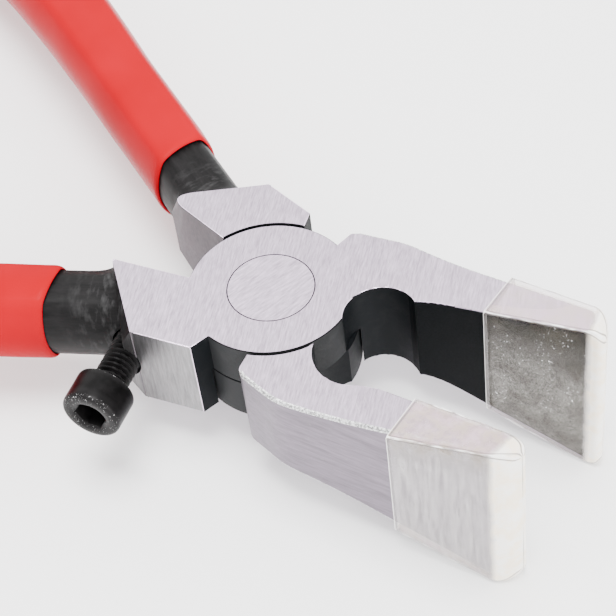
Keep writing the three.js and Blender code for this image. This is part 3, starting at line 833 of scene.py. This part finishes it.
def box_ring(x_at, low_y, high_y, low_z, high_z, corner):
    """A ring round a box section with rounded corners. Gives the points and how near a corner."""
    corner = min(corner, (high_y - low_y) / 2 - 0.01, (high_z - low_z) / 2 - 0.01)
    corners = (
        (high_y - corner, high_z - corner, 0), (low_y + corner, high_z - corner, 1),
        (low_y + corner, low_z + corner, 2), (high_y - corner, low_z + corner, 3),
    )
    places = []
    for k, (cy, cz, quarter) in enumerate(corners):
        for i in range(CORNER_STEPS + 1):
            angle = (quarter + i / CORNER_STEPS) * math.pi / 2
            away = Vector((0, math.cos(angle), math.sin(angle)))
            near = math.sin(math.pi * i / CORNER_STEPS)
            places.append((cy + corner * away.y, cz + corner * away.z, near, away))
        last = places[-1]
        ny, nz, turn = corners[(k + 1) % 4]
        angle = turn * math.pi / 2
        target = (ny + corner * math.cos(angle), nz + corner * math.sin(angle))
        for i in range(1, FLAT_STEPS):
            share = i / FLAT_STEPS
            y = last[0] + (target[0] - last[0]) * share
            z = last[1] + (target[1] - last[1]) * share
            places.append((y, z, 0.0, Vector((0, math.cos(angle), math.sin(angle)))))
    points, nearness = [], []
    for y, z, near, away in places:
        share = min(max((y - low_y) / (high_y - low_y), 0), 1)
        points.append((Vector((x_at(share), y, z)), away))
        nearness.append(near)
    return points, nearness


def build_cover(side, material):
    start_in, start_out = COVER_START
    tip = JAW_TIP_X + COVER_NOSE
    along_scale, round_scale = FOLD_SCALE
    rings, creases = [], []

    def limits(x, skin):
        top = flare_height(x) + skin
        return (
            line_y(JAW_INNER, x) - skin, line_y(JAW_OUTER, x) + skin, -HEAD_THICKNESS - top, top,
        )

    def add(share, skin, corner, end, wrinkle):
        middle = start_in + (end - start_in) * share
        from_end = (end - middle) if end == tip else math.inf
        low_y, high_y, low_z, high_z = limits(middle, skin)
        low_y += rounded_inset(NOSE_ROUND["inner"], from_end)
        high_y -= rounded_inset(NOSE_ROUND["outer"], from_end)
        drawn = rounded_inset(NOSE_ROUND["top"], from_end)
        low_z, high_z = low_z + drawn, high_z - drawn

        def x_at(across):
            begin = start_in + (start_out - start_in) * across
            return begin + (end - begin) * share

        seam = min(1.0, max(0.0, SEAM_CREASE - share * SEAM_FADE))
        ring, near = box_ring(x_at, low_y, high_y, low_z, high_z, corner)
        points, crease = [], []
        for (place, away), edge in zip(ring, near):
            fold = noise.noise(Vector((place.x * along_scale, away.y * round_scale, away.z * round_scale)))
            sag = noise.noise(place * SAG_SCALE)
            lift = wrinkle * (FOLD_HEIGHT * fold * edge + SAG_HEIGHT * sag)
            points.append(place + away * lift)
            creased = min(1.0, max(edge * (CORNER_CREASE + FOLD_CREASE * abs(fold)), seam))
            crease.append(creased if wrinkle else 0.0)
        rings.append(points)
        creases.append(crease)

    inner_end = JAW_TIP_X + COVER_FIT
    skin = COVER_FIT + COVER_FILM
    for i in range(LINING_STEPS, -1, -1):
        add(i / LINING_STEPS, COVER_FIT, LINING_CORNER, inner_end, 0.0)
    for i in range(SIDE_STEPS + 1):
        add(NOSE_SHARE * i / SIDE_STEPS, skin, CORNER_ROUND, tip, min(1.0, 0.5 + i / 4))
    for i in range(1, NOSE_STEPS + 1):
        share = NOSE_SHARE + (1 - NOSE_SHARE) * math.sin(i / NOSE_STEPS * math.pi / 2)
        add(share, skin, CORNER_ROUND + NOSE_CORNER_GROWTH * i / NOSE_STEPS, tip, 1.0)
    mesh = loft_mesh("jaw_cover_film_" + side, rings, closed_frame(side), creases, 60.0)
    return finish_piece(
        "jaw_cover_film_" + side, mesh, side, [material], ["jaw_cover_" + side],
    )


# The object -------------------------------------------------------------------------------------

GRAIN_ANGLE = math.radians(113)
RIVET_GRAIN_ANGLE = math.radians(75)
JAW_SLOPE = math.atan2(8.85, 27.8)  # how the jaw's outer side leans in towards the tip


def forging_finishes(side, top_steel):
    sign = 1 if side == "a" else -1
    jaw_turn = sign * (HALF_OPEN - JAW_SLOPE)
    handle_turn = sign * (HALF_OPEN + HANDLE_HEADING - math.pi)
    return {
        "top": top_steel,
        "jaw_side": brushed_steel("jaw_side_" + side, jaw_turn, 0.17, 0.36, (0.2, 2.4), flat=False),
        "shoulder_side": shoulder_steel("shoulder_side_" + side, sign * HALF_OPEN),
        "black": black_oxide("black_recess_" + side),
        "disc_wall": black_oxide("disc_wall_" + side, 0.017, 0.5, 0.1, (0.96, 1.0, 1.06)),
        "tang": tang_steel("tang_" + side, handle_turn),
        "wall": satin_grey("inner_wall_" + side),
        "inside": jaw_inside("jaw_inside_" + side, side),
        # The rounded edges are painted near-white, brighter than the top: partly wear, partly a painted
        # highlight.
        "edge": brushed_steel("worn_edge_and_highlight_" + side, GRAIN_ANGLE, 0.8, 0.3, (2.2, 2.2)),
        "burr": burred_steel("burred_edge_" + side),
        # Painted shade: black oxide on the rims that line the gaps along the seam and round the rivet.
        "gap_shade": black_oxide("painted_gap_shade_" + side, 0.002, 0.6, 0.0),
    }


top_steel = brushed_steel("ground_top", GRAIN_ANGLE)
red = red_vinyl("dipped_red_vinyl")
for side in BODY:
    build_forging(side, forging_finishes(side, top_steel))
    build_grip(side, red)
    build_cover(side, clear_vinyl("clear_vinyl_" + side, side, COVER_HAZE[side]))
build_screw(screw_black("screw_black_oxide"))
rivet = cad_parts["pivot_rivet"]
rivet.data.materials.clear()
rivet.data.materials.append(brushed_steel("rivet_top", RIVET_GRAIN_ANGLE, 0.49, 0.36, (0.5, 3.0)))

# Floor, light and camera ------------------------------------------------------------------------

FLOOR_DROP = 0.1  # below the lowest point, in mm
FLOOR_REACH = 3.0  # metres each way
WORLD_STRENGTH = 1.7

# Name, place in metres, what it faces, size in metres and watts.
SOFT_LIGHTS = (
    ("back_softbox", (-0.38, 0.45, 0.70), (0, 0, 0), (0.9, 0.9), 2.5),
    ("front_softbox", (0.30, -0.60, 0.65), (0, 0, 0), (0.7, 0.7), 4.0),
    ("right_softbox", (0.75, -0.15, 0.32), (0.04, 0, 0), (0.5, 0.5), 8.0),
    ("left_softbox", (-0.70, 0.37, 0.42), (0, 0, 0), (0.5, 0.5), 1.4),
    ("top_softbox", (0.0, 0.0, 1.0), (0, 0, 0), (0.5, 0.5), 20.0),
)


def build_floor():
    height = CAD_BOX[0].z - FLOOR_DROP * MM
    corners = [(x * FLOOR_REACH, y * FLOOR_REACH, height) for x, y in ((-1, -1), (1, -1), (1, 1), (-1, 1))]
    mesh = bpy.data.meshes.new("floor")
    mesh.from_pydata(corners, [], [(0, 1, 2, 3)])
    look = Shader("pale_floor")
    look.set(Base_Color=grey(0.95), Roughness=0.9)
    mesh.materials.append(look.material)
    floor = bpy.data.objects.new("floor", mesh)
    bpy.context.scene.collection.objects.link(floor)


def light_world():
    world = bpy.data.worlds.new("studio")
    world.use_nodes = True
    sky = world.node_tree.nodes["Background"]
    sky.inputs["Color"].default_value = (1.0, 1.0, 1.0, 1.0)
    sky.inputs["Strength"].default_value = WORLD_STRENGTH
    bpy.context.scene.world = world


def soft_light(name, place, target, size, power):
    lamp = bpy.data.lights.new(name, "AREA")
    lamp.shape = "RECTANGLE"
    lamp.size, lamp.size_y = size
    lamp.energy = power
    made = bpy.data.objects.new(name, lamp)
    bpy.context.scene.collection.objects.link(made)
    made.location = place
    made.rotation_mode = "QUATERNION"
    made.rotation_quaternion = (Vector(target) - Vector(place)).to_track_quat("-Z", "Y")


# The camera's heading and tilt, the pivot's place from it in mm (right, down, ahead), and its lens.
CAMERA = {
    "azimuth": math.radians(-49.459), "elevation": math.radians(48.740),
    "roll": math.radians(-8.058), "pivot": (-4.886, -2.728, 248.97),
}
LENS, SENSOR_WIDTH = 110.665, 36.0


def place_camera():
    azimuth, elevation, roll = CAMERA["azimuth"], CAMERA["elevation"], CAMERA["roll"]
    back = Vector((
        math.cos(azimuth) * math.cos(elevation),
        math.sin(azimuth) * math.cos(elevation),
        math.sin(elevation),
    ))
    level_right = Vector((0, 0, 1)).cross(back).normalized()
    level_down = (-back).cross(level_right)
    right = level_right * math.cos(roll) - level_down * math.sin(roll)
    down = level_right * math.sin(roll) + level_down * math.cos(roll)
    across, below, depth = CAMERA["pivot"]
    place = -(right * across + down * below - back * depth)
    data = bpy.data.cameras.new("camera")
    data.sensor_width = SENSOR_WIDTH
    data.lens = LENS
    data.clip_start, data.clip_end = 0.01, 20.0
    made = bpy.data.objects.new("camera", data)
    bpy.context.scene.collection.objects.link(made)
    turn = Matrix((right, -down, back)).transposed().to_4x4()
    made.matrix_world = Matrix.Translation(place * MM) @ turn
    bpy.context.scene.camera = made


build_floor()
light_world()
for settings in SOFT_LIGHTS:
    soft_light(*settings)
place_camera()
